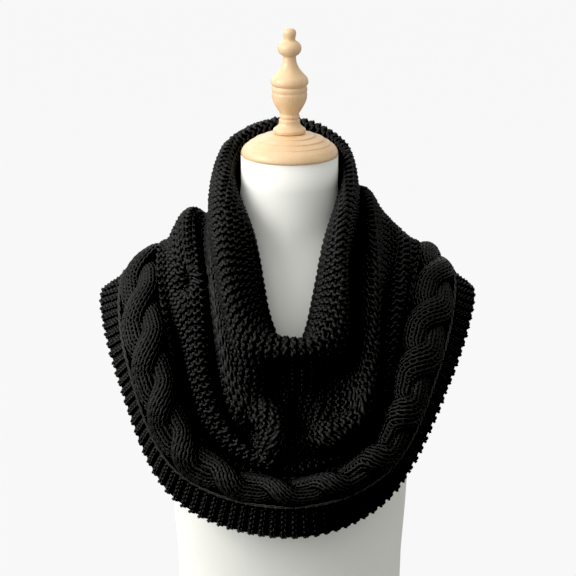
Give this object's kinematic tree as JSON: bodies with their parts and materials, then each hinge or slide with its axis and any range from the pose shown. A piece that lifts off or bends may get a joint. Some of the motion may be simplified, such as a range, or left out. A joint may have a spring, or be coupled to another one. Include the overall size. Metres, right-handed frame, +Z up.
{
  "type": "hooded shawl on a dress form",
  "caption": "Chunky dark knit shoulder cowl with nested folds, a rope cable and a garter hem, draped on a limbless dress form with a turned wooden finial.",
  "frame": {"origin": "middle of the flat base of the dress form", "axes": "+Z up along the form's neck, -Y towards the front of the garment, +X towards the wearer's left"},
  "size_m": [0.4443, 0.3205, 0.8753],
  "materials": {
    "dark_knit": "soft matt wool-blend yarn, near black",
    "form_cover": "plain white cotton cover",
    "turned_wood": "pale turned beech, satin"
  },
  "bodies": {
    "root": {"collar_roll": "dark_knit", "cowl_fold": "dark_knit", "shoulder_fold": "dark_knit", "cable_band": "dark_knit", "hem_border": "dark_knit", "dress_form": "form_cover", "neck_cap": "turned_wood", "finial": "turned_wood"}
  },
  "joints": []
}
